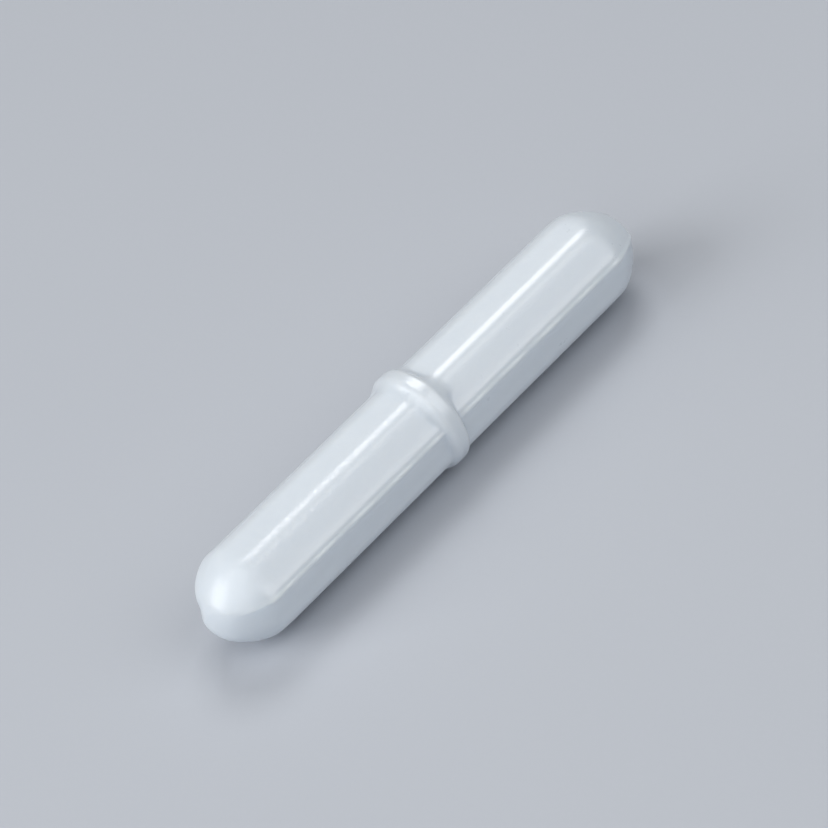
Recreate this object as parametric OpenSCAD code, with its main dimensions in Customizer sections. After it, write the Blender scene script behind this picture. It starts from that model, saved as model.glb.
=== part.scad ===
// Magnetic stir bar: a rod magnet sealed in a one-piece PTFE jacket.
//
// The jacket is an octagonal bar with softened long edges, a rounded nose at
// each end and an integral pivot ring round its middle. The bar lies level
// along X with one flat downwards. The origin is under the middle of the
// pivot ring, on the surface that the ring stands and turns on.

/* [Body] */
// Overall length of the bar, from nose to nose
bar_length = 76.2; // [60:0.1:110]
// Width of the octagonal body, from one flat to the opposite flat
across_flats = 12.7; // [11:0.1:16]
// Rounding of the eight long edges
edge_radius = 2.6; // [1:0.1:3]

/* [Ends] */
// How much longer each rounded end is than a half ball of the bar's size
end_stretch = 2; // [0.5:0.1:5]
// Radius of the nose, at the very end of the bar
nose_radius = 5.3; // [3:0.1:5.8]

/* [Pivot ring] */
// Height of the ring's crest above the long edges, which it holds off the vessel
ring_rise = 0.62; // [0.2:0.02:1.2]
// Width of the ring along the bar
ring_width = 3; // [2.3:0.1:5]
// Rounding of the ring's two shoulders, either side of its crest
ring_shoulder = 1.05; // [0.4:0.05:1.1]

/* [Magnet] */
// Thickness of PTFE between the magnet and each flat
side_wall = 1.6; // [1.2:0.1:2.4]
// Thickness of PTFE between the magnet and each nose
end_wall = 6.4; // [5:0.1:9]
// Chamfer on the rim of each end of the magnet
magnet_chamfer = 0.8; // [0.2:0.1:1.5]

/* [Hidden] */
$fn = 96;

sides = 8;
side_angle = 360 / sides;

// Distance from the bar's axis to a flat, to the centre of a long edge's
// rounding, and to the top of that rounding. The rounding stands a hair proud
// of the flats, so that it crosses them in clean lines.
rounding_proud = 0.005;
flat_reach = across_flats / 2;
edge_centre = (flat_reach - edge_radius) / cos(side_angle / 2);
edge_reach = edge_centre + edge_radius + rounding_proud;

// The turned form that rounds the ends. It passes just outside the long
// edges, and each end is a shoulder arc that runs smoothly into the nose arc.
turning_margin = 0.17;
shoulder_reach = edge_reach + turning_margin;
end_length = shoulder_reach + end_stretch;
shoulder_start = bar_length / 2 - end_length;
nose_centre = bar_length / 2 - nose_radius;
nose_offset = nose_centre - shoulder_start;
shoulder_radius = (nose_offset ^ 2 + shoulder_reach ^ 2 - nose_radius ^ 2)
    / (2 * (shoulder_reach - nose_radius));
nose_start = nose_centre + nose_radius * nose_offset / (shoulder_radius - nose_radius);

ring_reach = edge_reach + ring_rise;

magnet_radius = flat_reach - side_wall;
magnet_length = bar_length - 2 * end_wall;

// Lays a form drawn along Z down along X, at the height where the ring
// stands on the origin's plane
module lying() {
    translate([0, 0, ring_reach])
        rotate([0, 90, 0])
            children();
}

// Octagon with rounded corners and a flat at the bottom
module body_section() {
    half_flat = (flat_reach - edge_radius) * tan(side_angle / 2);
    polygon([
        for (i = [0:sides - 1], side = [-1, 1])
            let (turn = i * side_angle)
            [
                flat_reach * cos(turn) - side * half_flat * sin(turn),
                flat_reach * sin(turn) + side * half_flat * cos(turn)
            ]
    ]);
    for (i = [0:sides - 1])
        rotate((i + 0.5) * side_angle)
            translate([edge_centre, 0])
                circle(r = edge_radius + rounding_proud);
}

// One rounded end of the turned form's outline, with X as the radius. The
// nose circle lies inside the shoulder circle and touches it where the
// shoulder stops.
module end_outline() {
    intersection() {
        translate([shoulder_reach - shoulder_radius, shoulder_start])
            circle(r = shoulder_radius);
        square([shoulder_reach, nose_start]);
    }
    intersection() {
        translate([0, nose_centre])
            circle(r = nose_radius);
        square([nose_radius, bar_length / 2]);
    }
}

module turned_form() {
    rotate_extrude() {
        translate([0, -shoulder_start])
            square([shoulder_reach, 2 * shoulder_start]);
        end_outline();
        mirror([0, 1])
            end_outline();
    }
}

module body() {
    intersection() {
        translate([0, 0, -bar_length / 2])
            linear_extrude(height = bar_length)
                body_section();
        turned_form();
    }
}

// Band with a narrow flat crest between two round shoulders. Its foot lies
// within the wall of the jacket.
module pivot_ring() {
    foot = magnet_radius + side_wall / 2;
    crest_width = ring_width - 2 * ring_shoulder;
    shoulder_centre = ring_reach - ring_shoulder;
    rotate_extrude() {
        translate([foot, -ring_width / 2])
            square([shoulder_centre - foot, ring_width]);
        translate([foot, -crest_width / 2])
            square([ring_reach - foot, crest_width]);
        for (side = [-1, 1])
            translate([shoulder_centre, side * crest_width / 2])
                circle(r = ring_shoulder);
    }
}

// Rod with a chamfered rim at each end. The jacket is moulded and sintered
// onto it, so its cavity is this same form.
module magnet_form() {
    barrel_length = magnet_length - 2 * magnet_chamfer;
    rotate_extrude()
        polygon([
            [0, -magnet_length / 2],
            [magnet_radius - magnet_chamfer, -magnet_length / 2],
            [magnet_radius, -barrel_length / 2],
            [magnet_radius, barrel_length / 2],
            [magnet_radius - magnet_chamfer, magnet_length / 2],
            [0, magnet_length / 2]
        ]);
}

module ptfe_jacket() {
    color("whitesmoke")
        lying()
            difference() {
                union() {
                    body();
                    pivot_ring();
                }
                magnet_form();
            }
}

module magnet_core() {
    color("dimgray")
        lying()
            magnet_form();
}

ptfe_jacket();
magnet_core();
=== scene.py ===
"""Magnetic stir bar: a moulded PTFE jacket round a rod magnet.

The jacket's visible skin is one closed mesh, worked out station by station
along the bar, and it stands for the jacket of the CAD frame. The magnet keeps
its CAD mesh inside. The bar lies along X, with its lowest point at Z = 0.

Angles round the bar are measured from straight up, towards -Y. The near end
of the bar is the one towards -X.
"""

import logging
import math
from dataclasses import dataclass
from enum import Enum

import bpy
import numpy as np
from mathutils import Matrix, Vector, noise


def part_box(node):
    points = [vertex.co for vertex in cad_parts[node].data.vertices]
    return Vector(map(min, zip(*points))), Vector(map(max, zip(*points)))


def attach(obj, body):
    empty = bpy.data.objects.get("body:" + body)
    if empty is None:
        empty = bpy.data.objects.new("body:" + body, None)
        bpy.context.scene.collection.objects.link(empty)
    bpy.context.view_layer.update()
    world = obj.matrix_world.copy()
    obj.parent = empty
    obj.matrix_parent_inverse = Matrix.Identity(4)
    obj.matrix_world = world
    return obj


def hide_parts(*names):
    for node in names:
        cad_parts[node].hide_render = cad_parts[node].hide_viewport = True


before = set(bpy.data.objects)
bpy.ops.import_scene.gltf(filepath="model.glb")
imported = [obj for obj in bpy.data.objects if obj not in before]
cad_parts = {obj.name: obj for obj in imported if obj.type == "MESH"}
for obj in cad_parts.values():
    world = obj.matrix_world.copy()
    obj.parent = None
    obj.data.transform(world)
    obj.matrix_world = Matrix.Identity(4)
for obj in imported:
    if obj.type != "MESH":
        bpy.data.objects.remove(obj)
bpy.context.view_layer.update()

LOG = logging.getLogger("stir_bar")
MM = 0.001
SIDES = 8
SIDE_ANGLE = math.tau / SIDES
SEAM_ANGLES = (math.radians(67.5), math.radians(247.5))

Triple = tuple[float, float, float]


class BarEnd(Enum):
    """The two ends of the bar, by their direction along X."""

    NEAR = -1
    FAR = 1


# ---------------------------------------------------------------- numbers


def smoothstep(low: float, high: float, value: np.ndarray) -> np.ndarray:
    """Rises softly from 0 at low to 1 at high."""
    share = np.clip((value - low) / (high - low), 0.0, 1.0)
    return share * share * (3.0 - 2.0 * share)


def crossing_fill(first: np.ndarray, second: np.ndarray, blend: np.ndarray) -> np.ndarray:
    """How far a crossing of two reaches is rounded over.

    Args:
        first: One reach at each point.
        second: The other reach at each point.
        blend: The difference below which the two run into each other.

    Returns:
        The depth of the rounding at each point.
    """
    overlap = np.maximum(blend - np.abs(first - second), 0.0) / blend
    return overlap * overlap * blend / 4.0


def turn_from(angle: np.ndarray, centre: float) -> np.ndarray:
    """The signed turn from a centre angle, between minus and plus half a turn."""
    return (angle - centre + math.pi) % math.tau - math.pi


def lobe(angle: np.ndarray, centre: float, half_width: float) -> np.ndarray:
    """A cosine hump, 1 at its centre and 0 beyond its half width."""
    turn = np.clip(turn_from(angle, centre) / half_width, -1.0, 1.0)
    return 0.5 + 0.5 * np.cos(math.pi * turn)


# ---------------------------------------------------------------- shader graph


class Sock:
    """One output of a shader node, so that maths on it reads as an expression."""

    def __init__(self, graph: "Graph", socket: bpy.types.NodeSocket) -> None:
        """Wraps an output of a node in a graph."""
        self.graph = graph
        self.socket = socket

    def _combine(self, operation: str, first: "Sock | float", second: "Sock | float") -> "Sock":
        """Adds a Math node.

        Args:
            operation: ADD, SUBTRACT or MULTIPLY.
            first: The left operand.
            second: The right operand.

        Returns:
            The node's result.
        """
        return self.graph.node(
            "ShaderNodeMath", {"operation": operation}, {"Value": first, "Value_001": second}
        )

    def __add__(self, other: "Sock | float") -> "Sock":
        """This plus another."""
        return self._combine("ADD", self, other)

    def __sub__(self, other: "Sock | float") -> "Sock":
        """This less another."""
        return self._combine("SUBTRACT", self, other)

    def __rsub__(self, other: float) -> "Sock":
        """A number less this."""
        return self._combine("SUBTRACT", other, self)

    def __mul__(self, other: "Sock | float") -> "Sock":
        """This times another."""
        return self._combine("MULTIPLY", self, other)


class Graph:
    """The node tree of one material or of the world."""

    def __init__(self, owner: bpy.types.Material | bpy.types.World) -> None:
        """Takes the owner's node tree and empties it."""
        owner.use_nodes = True
        self.owner = owner
        self.tree = owner.node_tree
        self.tree.nodes.clear()

    def node(self, kind: str, settings: dict | None = None, inputs: dict | None = None,
             output: str | int = 0) -> Sock:
        """Adds a node.

        Args:
            kind: The node's type.
            settings: Its own settings, by attribute.
            inputs: The value or link of each socket, by identifier or name.
            output: The output to hand on, by identifier, name or place.

        Returns:
            That output.
        """
        made = self.tree.nodes.new(kind)
        for name, value in (settings or {}).items():
            setattr(made, name, value)
        for name, value in (inputs or {}).items():
            socket = self._find(made.inputs, name)
            if isinstance(value, Sock):
                self.tree.links.new(value.socket, socket)
            else:
                socket.default_value = value
        if not made.outputs:
            return Sock(self, made.inputs[0])
        return Sock(self, self._find(made.outputs, output))

    @staticmethod
    def _find(sockets: bpy.types.bpy_prop_collection, key: str | int) -> bpy.types.NodeSocket:
        """Finds a socket by identifier, name or place."""
        if isinstance(key, int):
            return sockets[key]
        for socket in sockets:
            if socket.identifier == key:
                return socket
        return sockets[key]

    def place(self) -> Sock:
        """The point being shaded, in the object's own metres."""
        return self.node("ShaderNodeTexCoord", output="Object")

    def parts(self, at: Sock) -> tuple[Sock, Sock, Sock]:
        """A vector's X, Y and Z."""
        names = ("X", "Y", "Z")
        return tuple(
            self.node("ShaderNodeSeparateXYZ", None, {"Vector": at}, name) for name in names
        )

    def cloud(self, at: Sock, waves: float, detail: float = 2.0, rough: float = 0.5) -> Sock:
        """A soft 3-D noise between 0 and 1.

        Args:
            at: The coordinates that it is laid on.
            waves: How many of its waves go into a metre.
            detail: How many finer layers it has.
            rough: How strong the finer layers are.

        Returns:
            The noise.
        """
        return self.node(
            "ShaderNodeTexNoise",
            {"noise_dimensions": "3D"},
            {"Vector": at, "Scale": waves, "Detail": detail, "Roughness": rough},
            "Fac",
        )

    def between(self, value: Sock, low: float, high: float, first: float = 0.0,
                second: float = 1.0) -> Sock:
        """Maps a span of a value softly onto another span, and holds it there.

        Args:
            value: The value to map.
            low: The value that gives first.
            high: The value that gives second.
            first: The result at and below low.
            second: The result at and above high.

        Returns:
            The mapped value.
        """
        return self.node(
            "ShaderNodeMapRange",
            {"interpolation_type": "SMOOTHSTEP"},
            {"Value": value, "From Min": low, "From Max": high, "To Min": first,
             "To Max": second},
        )

    def size(self, value: Sock) -> Sock:
        """A value without its sign."""
        return self.node("ShaderNodeMath", {"operation": "ABSOLUTE"}, {"Value": value})

    def blend(self, share: Sock, first: Sock | Triple, second: Triple) -> Sock:
        """Mixes two colours by a share."""
        start = first if isinstance(first, Sock) else (*first, 1.0)
        return self.node(
            "ShaderNodeMix",
            {"data_type": "RGBA"},
            {"Factor_Float": share, "A_Color": start, "B_Color": (*second, 1.0)},
            "Result_Color",
        )

    def bump(self, height: Sock, depth: float) -> Sock:
        """A bumped normal from a height between 0 and 1 and its depth in metres."""
        return self.node(
            "ShaderNodeBump", None, {"Height": height, "Distance": depth, "Strength": 1.0}
        )

    def finish(self, surface: Sock) -> None:
        """Adds the output node and gives it its surface."""
        is_world = isinstance(self.owner, bpy.types.World)
        kind = "ShaderNodeOutputWorld" if is_world else "ShaderNodeOutputMaterial"
        self.node(kind, None, {"Surface": surface})


# ---------------------------------------------------------------- finishes


@dataclass(frozen=True)
class SeamHighlightPaint:
    """A painted highlight: the paler line along the mould's seam, standing in for light caught
    by its bead, in metres.
    """

    offset: float = 0.00012
    core: float = 0.0001
    half_width: float = 0.0005
    side_change: float = 0.001
    clear_of_ring: tuple[float, float] = (0.0022, 0.0028)
    near_stop: tuple[float, float] = (-0.0358, -0.0325)

    def share(self, graph: Graph, at: Sock, axis_height: float) -> Sock:
        """How strong the painted highlight is at each place.

        Args:
            graph: The material's nodes.
            at: The point being shaded.
            axis_height: Height of the bar's axis.

        Returns:
            The line's strength, from 0 to 1.
        """
        along, across, up = graph.parts(at)
        up = up - axis_height
        turn = SEAM_ANGLES[0]
        outwards = up * math.cos(turn) - across * math.sin(turn)
        side = graph.between(outwards, -self.side_change, self.side_change, 1.0, -1.0)
        past_edge = (up * math.sin(turn) + across * math.cos(turn)) * side
        line = graph.between(
            graph.size(past_edge - self.offset), self.core, self.half_width, 1.0, 0.0
        )
        return (
            # Painted highlight: a band just past the seam edge, kept off the ring and stopped
            # towards the near end.
            line
            * graph.between(graph.size(along), *self.clear_of_ring)
            * graph.between(along, *self.near_stop)
        )


@dataclass(frozen=True)
class MouldedPtfe:
    """White fluoropolymer as it leaves the mould: milky, waxy and faintly pebbled.

    A paler line along the seam edges is a painted highlight for light caught by the bead.
    Places are in metres from mid length and from the bar's axis.
    Places are in metres from mid length and from the bar's axis.
    """

    colour: Triple = (0.755, 0.815, 0.875)
    dull_colour: Triple = (0.742, 0.802, 0.863)
    # Painted highlight: this paler base colour along the seam stands in for light caught by its
    # bead.
    seam_highlight_colour: Triple = (0.80, 0.875, 0.945)
    seam: SeamHighlightPaint = SeamHighlightPaint()
    index: float = 1.42
    sheen: float = 1.0
    rubbed_share: float = 0.85
    rubbed_index: float = 1.55
    rubbed_rough: float = 0.26
    rubbed_from: float = 0.00638
    rubbed_full: float = 0.00662
    sheen_rough: float = 0.27
    dull_rough: float = 0.33
    milkiness: float = 0.85
    milky_depth: float = 0.0022
    patch_waves: float = 170.0
    grain_waves: float = 900.0
    pebble_waves: float = 1500.0
    pebble_depth: float = 0.00002
    pebble_share: float = 0.5
    worn_pebble_share: float = 0.9
    grain_share: float = 0.3
    grain_in_tint: float = 0.4
    tint_span: tuple[float, float] = (0.32, 0.68)
    rough_span: tuple[float, float] = (0.3, 0.7)
    seam_highlight_grain: tuple[float, float, float, float] = (0.3, 0.6, 0.6, 1.0)
    near_half: tuple[float, float] = (-0.012, 0.004)
    near_dulling: float = 0.03
    worn_across: tuple[float, float] = (-0.0016, -0.0004)
    worn_up: tuple[float, float] = (0.004, 0.0055)
    worn_pebbles: tuple[float, float] = (0.44, 0.58)
    worn_loss: float = 0.9

    def make(self, axis_height: float) -> bpy.types.Material:
        """Builds the material.

        Args:
            axis_height: Height of the bar's axis in metres.

        Returns:
            The material.
        """
        material = bpy.data.materials.new("moulded_ptfe")
        graph = Graph(material)
        at = graph.place()
        along, across, up = graph.parts(at)
        up = up - axis_height
        patches = graph.cloud(at, self.patch_waves, detail=3.0, rough=0.55)
        grain = graph.cloud(at, self.grain_waves, detail=3.0, rough=0.6)
        pebbles = graph.cloud(at, self.pebble_waves, detail=1.5)
        near_half = graph.between(along, *self.near_half, 1.0, 0.0)
        worn = (
            near_half
            * graph.between(across, *self.worn_across, 1.0, 0.0)
            * graph.between(up, *self.worn_up)
        )
        mottle = patches * (1.0 - self.grain_in_tint) + grain * self.grain_in_tint
        tint = graph.between(mottle, *self.tint_span)
        rough = graph.between(
            patches * 0.5 + grain * 0.5, *self.rough_span, self.sheen_rough, self.dull_rough
        ) + near_half * self.near_dulling
        height = (
            pebbles * (worn * self.worn_pebble_share + self.pebble_share)
            + grain * self.grain_share
        )
        # Mask of the painted seam highlight, broken up by the grain.
        seam = self.seam.share(graph, at, axis_height) * graph.between(grain, *self.seam_highlight_grain)
        plain = graph.blend(tint, self.dull_colour, self.colour)
        lost = worn * graph.between(pebbles, *self.worn_pebbles, self.worn_loss, 0.0)
        rubbed = graph.between(
            across * across + up * up, self.rubbed_from**2, self.rubbed_full**2, 0.0,
            self.rubbed_share,
        )
        shader = graph.node(
            "ShaderNodeBsdfPrincipled",
            None,
            {
                # Base colour with the painted seam highlight blended in.
                "Base Color": graph.blend(seam, plain, self.seam_highlight_colour),
                "Roughness": rough,
                "IOR": self.index,
                "Specular IOR Level": self.sheen,
                "Coat Weight": rubbed * (1.0 - lost),
                "Coat IOR": self.rubbed_index,
                "Coat Roughness": self.rubbed_rough,
                "Subsurface Weight": self.milkiness,
                "Subsurface Radius": (1.0, 1.0, 1.0),
                "Subsurface Scale": self.milky_depth,
                "Normal": graph.bump(height, self.pebble_depth),
            },
        )
        graph.finish(shader)
        return material


@dataclass(frozen=True)
class GroundMagnet:
    """Cast magnet alloy, ground to size, with fine marks round it."""

    colour: Triple = (0.22, 0.215, 0.21)
    worn_colour: Triple = (0.34, 0.335, 0.325)
    metal_share: float = 0.9
    casting_waves: float = 240.0
    mark_waves: float = 900.0
    mark_sway: float = 3.0
    mark_detail: float = 3.0
    mark_detail_waves: float = 1.4
    mark_depth: float = 0.00002
    marks_in_rough: float = 0.4
    casting_in_bump: float = 0.4
    worn_span: tuple[float, float] = (0.35, 0.65)
    rough_span: tuple[float, float] = (0.2, 0.8)
    fine_rough: float = 0.34
    dull_rough: float = 0.58

    def make(self) -> bpy.types.Material:
        """Builds the material."""
        material = bpy.data.materials.new("ground_magnet")
        graph = Graph(material)
        at = graph.place()
        casting = graph.cloud(at, self.casting_waves, detail=4.0, rough=0.6)
        marks = graph.node(
            "ShaderNodeTexWave",
            {"wave_type": "BANDS", "bands_direction": "X"},
            {"Vector": at, "Scale": self.mark_waves, "Distortion": self.mark_sway,
             "Detail": self.mark_detail, "Detail Scale": self.mark_detail_waves},
            "Fac",
        )
        dullness = casting * (1.0 - self.marks_in_rough) + marks * self.marks_in_rough
        height = marks * (1.0 - self.casting_in_bump) + casting * self.casting_in_bump
        shader = graph.node(
            "ShaderNodeBsdfPrincipled",
            None,
            {
                "Base Color": graph.blend(
                    graph.between(casting, *self.worn_span), self.colour, self.worn_colour
                ),
                "Metallic": self.metal_share,
                "Roughness": graph.between(
                    dullness, *self.rough_span, self.fine_rough, self.dull_rough
                ),
                "Normal": graph.bump(height, self.mark_depth),
            },
        )
        graph.finish(shader)
        return material


@dataclass(frozen=True)
class PaleBench:
    """A plain matt bench top in a pale cool grey."""

    colour: Triple = (0.52, 0.55, 0.605)
    soft_colour: Triple = (0.54, 0.57, 0.62)
    drift_waves: float = 9.0
    grain_waves: float = 1500.0
    grain_depth: float = 0.00001
    grain_span: tuple[float, float] = (0.3, 0.7)
    fine_rough: float = 0.62
    dull_rough: float = 0.74
    sheen: float = 0.3

    def make(self) -> bpy.types.Material:
        """Builds the material."""
        material = bpy.data.materials.new("pale_bench")
        graph = Graph(material)
        at = graph.place()
        drift = graph.cloud(at, self.drift_waves)
        grain = graph.cloud(at, self.grain_waves)
        shader = graph.node(
            "ShaderNodeBsdfPrincipled",
            None,
            {
                "Base Color": graph.blend(drift, self.colour, self.soft_colour),
                "Roughness": graph.between(
                    grain, *self.grain_span, self.fine_rough, self.dull_rough
                ),
                "Specular IOR Level": self.sheen,
                "Normal": graph.bump(grain, self.grain_depth),
            },
        )
        graph.finish(shader)
        return material


# ---------------------------------------------------------------- the jacket's form


@dataclass(frozen=True)
class BodyForm:
    """The octagonal body with rounded long edges, in millimetres."""

    flat_reach: float = 6.35
    edge_radius: float = 2.6
    seam_edge_radius: float = 1.6
    rounding_proud: float = 0.005

    @property
    def edge_reach(self) -> float:
        """Distance from the axis to the top of a long edge's rounding."""
        centre = (self.flat_reach - self.edge_radius) / math.cos(SIDE_ANGLE / 2)
        return centre + self.edge_radius + self.rounding_proud

    def reach_at(self, angle: np.ndarray) -> np.ndarray:
        """The octagon's reach at angles round the bar."""
        from_flat = np.abs(turn_from(angle * SIDES, 0.0)) / SIDES
        reach = self._rounded(from_flat, self.edge_radius)
        sharper = self._rounded(from_flat, self.seam_edge_radius)
        for seam in SEAM_ANGLES:
            reach = np.where(np.abs(turn_from(angle, seam)) < SIDE_ANGLE / 2, sharper, reach)
        return reach

    def _rounded(self, from_flat: np.ndarray, radius: float) -> np.ndarray:
        """The reach of an octagon with one edge radius.

        Args:
            from_flat: Angles from the middle of the nearest flat.
            radius: The rounding of the edges.

        Returns:
            The reach.
        """
        centre = (self.flat_reach - radius) / math.cos(SIDE_ANGLE / 2)
        touch = math.atan(centre * math.sin(SIDE_ANGLE / 2) / self.flat_reach)
        from_edge = SIDE_ANGLE / 2 - from_flat
        rounded = centre * np.cos(from_edge) + np.sqrt(
            np.maximum(radius**2 - (centre * np.sin(from_edge)) ** 2, 0.0)
        )
        return np.where(from_flat > touch, rounded, self.flat_reach / np.cos(from_flat))


@dataclass(frozen=True)
class EndForm:
    """The turned form that rounds the ends, in millimetres.

    It passes just outside the body's long edges. Each end is a shoulder arc
    that runs smoothly into the nose arc.
    """

    length: float = 76.2
    nose_radius: float = 5.3
    stretch: float = 2.0
    turning_margin: float = 0.17
    body: BodyForm = BodyForm()

    @property
    def reach(self) -> float:
        """The turned form's reach before it starts to round."""
        return self.body.edge_reach + self.turning_margin

    @property
    def end_length(self) -> float:
        """Length of one rounded end."""
        return self.reach + self.stretch

    @property
    def shoulder_start(self) -> float:
        """Distance from mid length at which the end starts to round."""
        return self.length / 2 - self.end_length

    @property
    def nose_centre(self) -> float:
        """Distance of the nose arc's centre from mid length."""
        return self.length / 2 - self.nose_radius

    @property
    def shoulder_radius(self) -> float:
        """Radius of the arc between the straight body and the nose."""
        offset = self.nose_centre - self.shoulder_start
        return (offset**2 + self.reach**2 - self.nose_radius**2) / (
            2 * (self.reach - self.nose_radius)
        )

    @property
    def nose_start(self) -> float:
        """Distance from mid length at which the shoulder runs into the nose."""
        offset = self.nose_centre - self.shoulder_start
        return self.nose_centre + self.nose_radius * offset / (
            self.shoulder_radius - self.nose_radius
        )

    def reach_at(self, distance: np.ndarray) -> np.ndarray:
        """The turned form's reach at distances from mid length."""
        shoulder_rise = np.clip(distance - self.shoulder_start, 0.0, self.shoulder_radius)
        shoulder = (
            self.reach
            - self.shoulder_radius
            + np.sqrt(self.shoulder_radius**2 - shoulder_rise**2)
        )
        nose_rise = np.clip(distance - self.nose_centre, 0.0, self.nose_radius)
        nose = np.sqrt(self.nose_radius**2 - nose_rise**2)
        return np.where(distance < self.nose_start, shoulder, nose)

    def lean_at(self, distance: np.ndarray) -> np.ndarray:
        """How far the turned form's face leans towards its tip, from 0 to 1."""
        shoulder = (distance - self.shoulder_start) / self.shoulder_radius
        nose = (distance - self.nose_centre) / self.nose_radius
        return np.clip(np.where(distance < self.nose_start, shoulder, nose), 0.0, 1.0)


@dataclass(frozen=True)
class RingFlank:
    """One side of the pivot ring, in millimetres, where crisp and where soft.

    The shoulder is an arc that goes on as a straight slope once it is steep
    enough, down to a fillet at the foot.
    """

    shoulder: float
    steepness: float
    soft_steepness: float
    fillet: float
    soft_fillet: float

    def drop_at(self, over: np.ndarray, softness: np.ndarray) -> np.ndarray:
        """How far the flank has fallen.

        Args:
            over: Distance outwards from the edge of the crest.
            softness: How soft the flank is there, from 0 to 1.

        Returns:
            The drop below the crest.
        """
        steep = self.steepness + (self.soft_steepness - self.steepness) * softness
        over = np.maximum(over, 0.0)
        inside = np.minimum(over, self.shoulder * steep / np.sqrt(1.0 + steep**2))
        arc = self.shoulder - np.sqrt(self.shoulder**2 - inside**2)
        return arc + steep * (over - inside)

    def fillet_at(self, softness: np.ndarray) -> np.ndarray:
        """The depth of the fillet at the foot."""
        return self.fillet + (self.soft_fillet - self.fillet) * softness


@dataclass(frozen=True)
class SoftPlace:
    """A stretch round the ring where its flanks are gentler.

    Near and far say how gentle each flank is at the middle, from 0 to 1.
    """

    angle: float
    half_width: float
    near: float
    far: float


@dataclass(frozen=True)
class RingForm:
    """The pivot ring, in millimetres, with its slight sway along the bar."""

    body: BodyForm = BodyForm()
    rise: float = 0.62
    half_width: float = 1.5
    near: RingFlank = RingFlank(
        shoulder=1.25, steepness=1.6, soft_steepness=0.75, fillet=0.6, soft_fillet=0.9
    )
    far: RingFlank = RingFlank(
        shoulder=0.85, steepness=4.0, soft_steepness=0.75, fillet=0.12, soft_fillet=1.1
    )
    soft_places: tuple[SoftPlace, ...] = (
        SoftPlace(math.radians(-40.0), math.radians(110.0), near=1.0, far=1.0),
        SoftPlace(math.radians(36.0), math.radians(44.0), near=0.9, far=0.85),
        SoftPlace(math.radians(132.0), math.radians(45.0), near=0.9, far=0.6),
    )
    worn_angle: float = math.radians(132.2)
    worn_half_width: float = math.radians(45.0)
    worn_drop: float = 0.3
    sway: float = 0.05
    sway_turn: float = 0.8
    ripple: float = 0.03
    side_change: float = 0.4

    @property
    def reach(self) -> float:
        """The crest's distance from the axis."""
        return self.body.edge_reach + self.rise

    def softness_at(self, angle: np.ndarray) -> tuple[np.ndarray, np.ndarray]:
        """How soft the near and the far flank are at angles round the bar."""
        near, far = np.zeros_like(angle), np.zeros_like(angle)
        for place in self.soft_places:
            share = lobe(angle, place.angle, place.half_width)
            near, far = near + place.near * share, far + place.far * share
        return np.minimum(near, 1.0), np.minimum(far, 1.0)

    def reach_at(self, along: np.ndarray, angle: np.ndarray) -> np.ndarray:
        """The ring's reach at places along the bar and angles round it.

        Args:
            along: Distance from the ring's middle, with the near end negative.
            angle: Angles round the bar.

        Returns:
            The reach, which goes on falling outside the ring.
        """
        place = (
            along
            - self.sway * np.sin(angle + self.sway_turn)
            - self.ripple * np.sin(3.0 * angle)
        )
        near_softness, far_softness = self.softness_at(angle)
        near_edge = self.half_width - self.near.shoulder
        far_edge = self.half_width - self.far.shoulder
        worn = self.worn_drop * lobe(angle, self.worn_angle, self.worn_half_width)
        return (
            self.reach
            - self.near.drop_at(-place - near_edge, near_softness)
            - self.far.drop_at(place - far_edge, far_softness)
            - worn
        )

    def fillet_at(self, along: np.ndarray, angle: np.ndarray) -> np.ndarray:
        """The depth of the fillet at the foot of the side that a place is on."""
        near_softness, far_softness = self.softness_at(angle)
        near, far = self.near.fillet_at(near_softness), self.far.fillet_at(far_softness)
        return near + (far - near) * smoothstep(-self.side_change, self.side_change, along)


@dataclass(frozen=True)
class MouldSeam:
    """The fine bead where the mould's halves met, along two opposite long edges.

    Sizes are in millimetres.
    """

    bead_height: float = 0.15
    bead_half_width: float = 0.27
    bead_offset: float = 0.36
    waver: float = 0.15
    waver_waves: float = 0.9
    waver_turn: float = 3.0

    def rise_at(self, along: np.ndarray, angle: np.ndarray, reach: np.ndarray) -> np.ndarray:
        """How far the seam stands above the plain body.

        Args:
            along: Distance from mid length, with the near end negative.
            angle: Angles round the bar.
            reach: The plain form's reach.

        Returns:
            The rise at each place.
        """
        rise = np.zeros_like(reach)
        for seam in SEAM_ANGLES:
            across = turn_from(angle, seam) * reach
            bead = np.exp(-(((across - self.bead_offset) / self.bead_half_width) ** 2))
            wave = np.sin(self.waver_waves * along + self.waver_turn * seam)
            rise += self.bead_height * bead * (1.0 - self.waver + self.waver * wave)
        return rise


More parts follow.
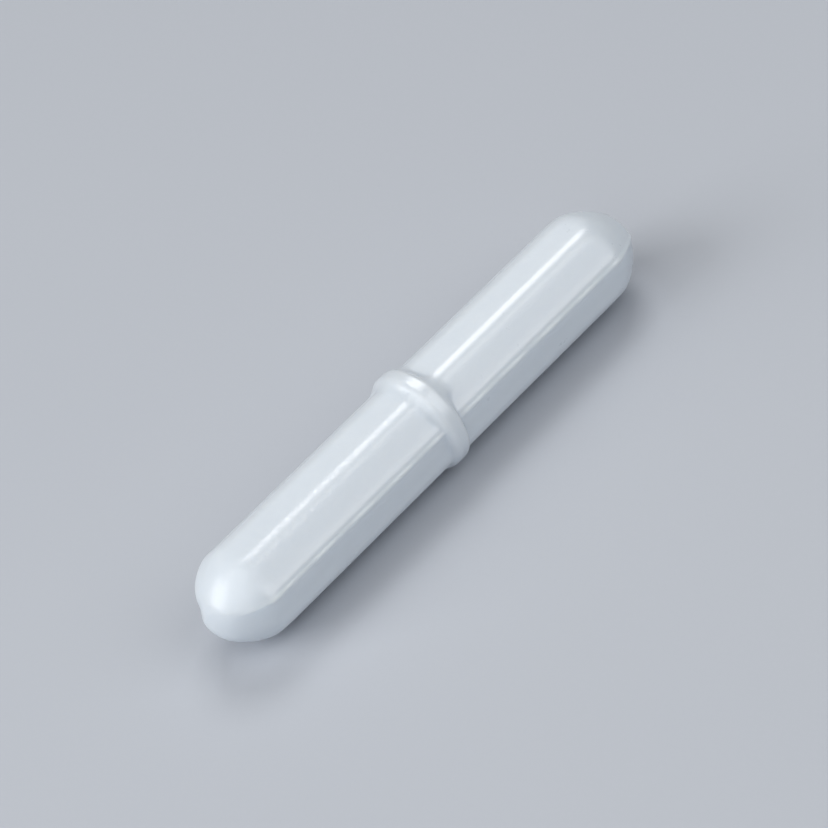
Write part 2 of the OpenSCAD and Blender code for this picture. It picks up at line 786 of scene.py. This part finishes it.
@dataclass(frozen=True)
class EndCrease:
    """How the seam goes on over one rounded end, in millimetres.

    The crease runs over the end from one seam edge to the other. A bow of 1
    takes it straight over the tip, and a greater one takes it above the tip.
    """

    end: BarEnd
    bow: float
    height: float
    half_width: float
    dip_depth: float
    swell: float
    bead_end: float
    edge_out: float = 6.27
    edge_up: float = 2.6
    sharpness: float = 1.25
    front_fade: tuple[float, float] = (-1.0, 1.5)
    groove_up: float = 0.2
    groove_half_width: float = 1.3
    groove_start: tuple[float, float] = (0.5, 2.5)
    swell_middle: tuple[float, float] = (4.4, 3.0)
    swell_spread: tuple[float, float] = (1.9, 1.2)
    bead_fade: float = 1.5
    bead: MouldSeam = MouldSeam()

    def rise_at(self, across: np.ndarray, up: np.ndarray) -> np.ndarray:
        """How far the surface stands out at places seen along the bar.

        Args:
            across: Distance from the axis towards +Y.
            up: Distance above the axis.

        Returns:
            The rise at each place.
        """
        share = np.clip((across + self.edge_out) / (2.0 * self.edge_out), 0.0, 1.0)
        crease_up = self.edge_up * (1.0 - 2.0 * share**self.bow)
        above = up - crease_up
        tent = np.maximum(1.0 - np.abs(above) / self.half_width, 0.0) ** self.sharpness
        front = 1.0 - smoothstep(*self.front_fade, across)
        groove = np.exp(-(((above - self.groove_up) / self.groove_half_width) ** 2))
        groove = groove * smoothstep(*self.groove_start, across)
        swell_out = (across - self.swell_middle[0]) / self.swell_spread[0]
        swell_up = (up - self.swell_middle[1]) / self.swell_spread[1]
        swell = np.exp(-(swell_out**2) - swell_up**2)
        line = np.exp(-(((above + self.bead.bead_offset) / self.bead.bead_half_width) ** 2))
        line = line * (1.0 - smoothstep(self.bead_end - self.bead_fade, self.bead_end, across))
        rise = self.height * tent * front + self.bead.bead_height * line
        return rise - self.dip_depth * groove + self.swell * swell


@dataclass(frozen=True)
class JacketForm:
    """The whole skin of the jacket, in millimetres from the middle of its axis."""

    ends: EndForm = EndForm()
    body: BodyForm = BodyForm()
    ring: RingForm = RingForm()
    seam: MouldSeam = MouldSeam()
    creases: tuple[EndCrease, EndCrease] = (
        EndCrease(
            BarEnd.NEAR, bow=2.6, height=0.36, half_width=2.5, dip_depth=0.36, swell=0.2,
            bead_end=-3.2,
        ),
        EndCrease(
            BarEnd.FAR, bow=1.0, height=0.22, half_width=2.2, dip_depth=0.1, swell=0.0,
            bead_end=-2.0,
        ),
    )
    end_blend: float = 0.35
    seam_stop: tuple[float, float] = (29.0, 34.0)
    crease_start: tuple[float, float] = (29.5, 32.5)
    tip_calm: float = 1.6

    def reach_at(self, along: np.ndarray, angle: np.ndarray) -> np.ndarray:
        """The skin's reach from the axis, without the creases over the ends.

        Args:
            along: Distance from mid length, near end negative.
            angle: Angles round the bar in radians.

        Returns:
            The reach.
        """
        turned = self.ends.reach_at(np.abs(along))
        octagon = self.body.reach_at(angle)
        plain = np.minimum(turned, octagon) - crossing_fill(turned, octagon, self.end_blend)
        body_share = 1.0 - smoothstep(*self.seam_stop, np.abs(along))
        plain = plain + self.seam.rise_at(along, angle, plain) * body_share
        ring = self.ring.reach_at(along, angle)
        fill = crossing_fill(plain, ring, self.ring.fillet_at(along, angle))
        return np.maximum(plain, ring) + fill

    def points_at(self, along: np.ndarray, angle: np.ndarray, sink: np.ndarray) -> np.ndarray:
        """The skin's points.

        Args:
            along: Distance from mid length, near end negative.
            angle: Angles round the bar in radians.
            sink: How far each point lies below the plain form.

        Returns:
            The points, with the bar's axis along X through the origin.
        """
        reach = self.reach_at(along, angle) - sink
        across, up = -reach * np.sin(angle), reach * np.cos(angle)
        distance = np.abs(along)
        lean = self.ends.lean_at(distance)
        rise = np.zeros_like(reach)
        for crease in self.creases:
            here = smoothstep(*self.crease_start, along * crease.end.value)
            rise += crease.rise_at(across, up) * here
        to_tip = self.ends.length / 2 - distance
        rise = np.where(rise > 0.0, rise * smoothstep(0.0, self.tip_calm, to_tip), rise)
        outward = rise * np.sqrt(1.0 - lean**2)
        return np.stack(
            [
                along + rise * lean * np.sign(along),
                across - outward * np.sin(angle),
                up + outward * np.cos(angle),
            ],
            axis=-1,
        )


@dataclass(frozen=True)
class Jacket:
    """The visible skin of the one-piece PTFE jacket, as one closed mesh."""

    form: JacketForm = JacketForm()
    edge_zone: float = math.radians(20.0)
    edge_steps: int = 20
    flat_steps: int = 10
    ring_zone: float = 2.6
    ring_steps: int = 40
    body_steps: int = 70
    dome_steps: int = 64
    unevenness: float = 0.018
    waves_along: float = 0.16
    waves_round: float = 0.3
    fine_waves: float = 3.1
    fine_share: float = 0.25
    even_crest: tuple[float, float] = (0.9, 1.9)
    even_tip: float = 1.2

    def angles(self) -> np.ndarray:
        """The columns' angles, close together at the long edges."""
        zone, rest = self.edge_zone, SIDE_ANGLE - self.edge_zone
        across_edge = np.arange(self.edge_steps) / self.edge_steps * zone - zone / 2
        across_flat = np.arange(self.flat_steps) / self.flat_steps * rest + zone / 2
        one_side = np.concatenate([across_edge, across_flat]) + SIDE_ANGLE / 2
        return np.concatenate([one_side + side * SIDE_ANGLE for side in range(SIDES)])

    def stations(self) -> np.ndarray:
        """The rings of points along the bar, close together at the ring and the ends."""
        ends = self.form.ends
        half = ends.length / 2
        ring = np.linspace(0.0, self.ring_zone, self.ring_steps)
        body = np.linspace(self.ring_zone, ends.shoulder_start, self.body_steps)[1:]
        sweep = np.linspace(0.0, math.pi / 2, self.dome_steps)[1:-1]
        dome = ends.shoulder_start + (half - ends.shoulder_start) * np.sin(sweep)
        positive = np.concatenate([ring[1:], body, dome])
        return np.concatenate([-positive[::-1], [0.0], positive])

    def skin_points(self, axis_height: float) -> tuple[np.ndarray, int]:
        """Works out the skin's points, in metres, station by station.

        Args:
            axis_height: Height of the bar's axis above the bench in metres.

        Returns:
            The points, and how many there are in each station.
        """
        angles, stations = self.angles(), self.stations()
        along, angle = np.meshgrid(stations, angles, indexing="ij")
        reach = self.form.reach_at(along, angle)
        off_crest = smoothstep(*self.even_crest, np.abs(along))
        off_tip = smoothstep(0.0, self.even_tip, self.form.ends.length / 2 - np.abs(along))
        sink = self._uneven(along, angle, reach) * off_tip * off_crest
        points = self.form.points_at(along, angle, sink)
        points[..., 2] += axis_height / MM
        return points.reshape(-1, 3) * MM, len(angles)

    def _uneven(self, along: np.ndarray, angle: np.ndarray, reach: np.ndarray) -> np.ndarray:
        """The slight unevenness of moulded faces, as a depth below the plain form."""
        places = np.stack(
            [
                along * self.waves_along,
                reach * np.sin(angle) * self.waves_round,
                reach * np.cos(angle) * self.waves_round,
            ],
            axis=-1,
        ).reshape(-1, 3)
        waves = np.array([noise.noise(Vector(place)) for place in places])
        fine = np.array([noise.noise(Vector(place) * self.fine_waves) for place in places])
        depth = self.unevenness * (0.5 + 0.5 * waves + self.fine_share * fine)
        return np.maximum(depth, 0.0).reshape(along.shape)

    def build(self) -> bpy.types.Object:
        """Builds the jacket's mesh and returns the object."""
        low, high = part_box("ptfe_jacket")
        axis_height = (low.z + high.z) / 2
        points, columns = self.skin_points(axis_height)
        rows = len(points) // columns
        vertices = points.tolist()
        faces = []
        for row in range(rows - 1):
            base, above = row * columns, (row + 1) * columns
            for column in range(columns):
                after = (column + 1) % columns
                faces.append((base + column, base + after, above + after, above + column))
        half = self.form.ends.length / 2
        for end in BarEnd:
            tip = len(vertices)
            vertices.append((end.value * half * MM, 0.0, axis_height))
            base = 0 if end is BarEnd.NEAR else (rows - 1) * columns
            for column in range(columns):
                after = (column + 1) % columns
                pair = (base + column, base + after)
                faces.append((tip, *pair[::-1]) if end is BarEnd.NEAR else (tip, *pair))
        mesh = bpy.data.meshes.new("jacket")
        mesh.from_pydata(vertices, [], faces)
        mesh.validate()
        mesh.shade_smooth()
        jacket = bpy.data.objects.new("jacket", mesh)
        bpy.context.collection.objects.link(jacket)
        return jacket


# ---------------------------------------------------------------- the stage


@dataclass(frozen=True)
class Bench:
    """The bench top that the bar stands on."""

    half_size: float = 1.6

    def build(self) -> bpy.types.Object:
        """Builds the bench top as one large face."""
        reach = self.half_size
        corners = [(-reach, -reach, 0.0), (reach, -reach, 0.0), (reach, reach, 0.0),
                   (-reach, reach, 0.0)]
        mesh = bpy.data.meshes.new("bench")
        mesh.from_pydata(corners, [], [(0, 1, 2, 3)])
        bench = bpy.data.objects.new("bench", mesh)
        bpy.context.collection.objects.link(bench)
        return bench


@dataclass(frozen=True)
class Softbox:
    """A square area lamp, aimed at the bar from a direction. Sizes are in metres."""

    name: str
    direction: Triple
    width: float
    brightness: float
    distance: float = 0.9

    def build(self) -> bpy.types.Object:
        """Builds the lamp. A white card that faces it renders at its brightness."""
        lamp = bpy.data.lights.new(self.name, "AREA")
        lamp.shape = "RECTANGLE"
        lamp.size = lamp.size_y = self.width
        lamp.energy = (math.pi * self.distance) ** 2 * self.brightness
        holder = bpy.data.objects.new(self.name, lamp)
        towards = Vector(self.direction).normalized()
        holder.location = towards * self.distance
        holder.rotation_mode = "QUATERNION"
        holder.rotation_quaternion = towards.to_track_quat("Z", "Y")
        bpy.context.collection.objects.link(holder)
        return holder


@dataclass(frozen=True)
class StudioLights:
    """Soft studio light: four lamps, a little light from the room and its pale walls.

    The key lamp stands high beyond the bar and draws the long highlight. The
    wide lamp hangs over the near end, the side lamp fills the side towards -Y
    and the end lamp rounds the near end. The walls, at the backdrop's strength,
    show to the camera and in reflections only.
    """

    key: Softbox = Softbox("key_lamp", (0.41, 0.285, 0.866), width=0.42, brightness=0.285)
    wide: Softbox = Softbox("wide_lamp", (-0.60, -0.16, 0.78), width=0.9, brightness=0.44)
    side: Softbox = Softbox("side_lamp", (0.28, -0.64, 0.715), width=0.70, brightness=0.315)
    end: Softbox = Softbox("end_lamp", (-0.78, 0.36, 0.51), width=0.55, brightness=0.46)
    room: float = 0.03
    backdrop: float = 0.35

    def build(self) -> None:
        """Builds the lamps and the world."""
        for lamp in (self.key, self.wide, self.side, self.end):
            lamp.build()
        world = bpy.data.worlds.new("studio")
        bpy.context.scene.world = world
        graph = Graph(world)
        seen = graph.node("ShaderNodeLightPath", output="Is Camera Ray")
        mirrored = graph.node("ShaderNodeLightPath", output="Is Glossy Ray")
        through = graph.node("ShaderNodeLightPath", output="Is Transmission Ray")
        shown = graph.between(seen + mirrored + through, 0.0, 1.0, self.room, self.backdrop)
        graph.finish(
            graph.node(
                "ShaderNodeBackground",
                None,
                {"Color": (1.0, 1.0, 1.0, 1.0), "Strength": shown},
            )
        )


@dataclass(frozen=True)
class StudioCamera:
    """The camera, placed round the middle of the bar. Lengths of optics are in mm."""

    azimuth: float = math.radians(-32.54)
    elevation: float = math.radians(42.91)
    tilt: float = math.radians(-20.98)
    distance: float = 0.4564
    lens: float = 161.55
    sensor: float = 36.0
    shift: tuple[float, float] = (-0.00785, 0.00798)

    def build(self, target: Vector) -> bpy.types.Object:
        """Builds the camera and makes it the scene's own.

        Args:
            target: The point that it is placed round, in metres.

        Returns:
            The camera.
        """
        level = math.cos(self.elevation)
        back = Vector((math.sin(self.azimuth) * level, -math.cos(self.azimuth) * level,
                       math.sin(self.elevation)))
        side = Vector((math.cos(self.azimuth), math.sin(self.azimuth), 0.0))
        above = back.cross(side)
        right = side * math.cos(self.tilt) + above * math.sin(self.tilt)
        upward = back.cross(right)
        data = bpy.data.cameras.new("studio_camera")
        data.sensor_width = self.sensor
        data.lens = self.lens
        data.shift_x, data.shift_y = self.shift
        camera = bpy.data.objects.new("studio_camera", data)
        turn = Matrix((right, upward, back)).transposed().to_4x4()
        camera.matrix_world = Matrix.Translation(target + back * self.distance) @ turn
        bpy.context.collection.objects.link(camera)
        bpy.context.scene.camera = camera
        return camera


# ---------------------------------------------------------------- the whole scene


@dataclass(frozen=True)
class StirBar:
    """The stir bar: the jacket that shows and the magnet inside it."""

    jacket: Jacket = Jacket()
    plastic: MouldedPtfe = MouldedPtfe()
    magnet: GroundMagnet = GroundMagnet()

    def build(self) -> list[bpy.types.Object]:
        """Builds the jacket, dresses the magnet and returns both."""
        jacket = self.jacket.build()
        low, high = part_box("ptfe_jacket")
        jacket.data.materials.append(self.plastic.make((low.z + high.z) / 2))
        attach(jacket, "root")
        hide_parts("ptfe_jacket")
        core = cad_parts["magnet_core"]
        core.data.materials.clear()
        core.data.materials.append(self.magnet.make())
        return [jacket, core]


def report(piece: bpy.types.Object) -> None:
    """Logs a piece's name and how many faces it has."""
    LOG.info("%s: %d faces", piece.name, len(piece.data.polygons))


def main() -> None:
    """Builds the stir bar, then the stage round it."""
    logging.basicConfig(level=logging.INFO, format="%(name)s: %(message)s")
    bpy.context.scene.view_settings.view_transform = "Standard"
    for piece in StirBar().build():
        report(piece)
    bench = Bench().build()
    bench.data.materials.append(PaleBench().make())
    report(bench)
    StudioLights().build()
    low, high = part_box("ptfe_jacket")
    StudioCamera().build((low + high) / 2)


if __name__ == "__main__":
    main()
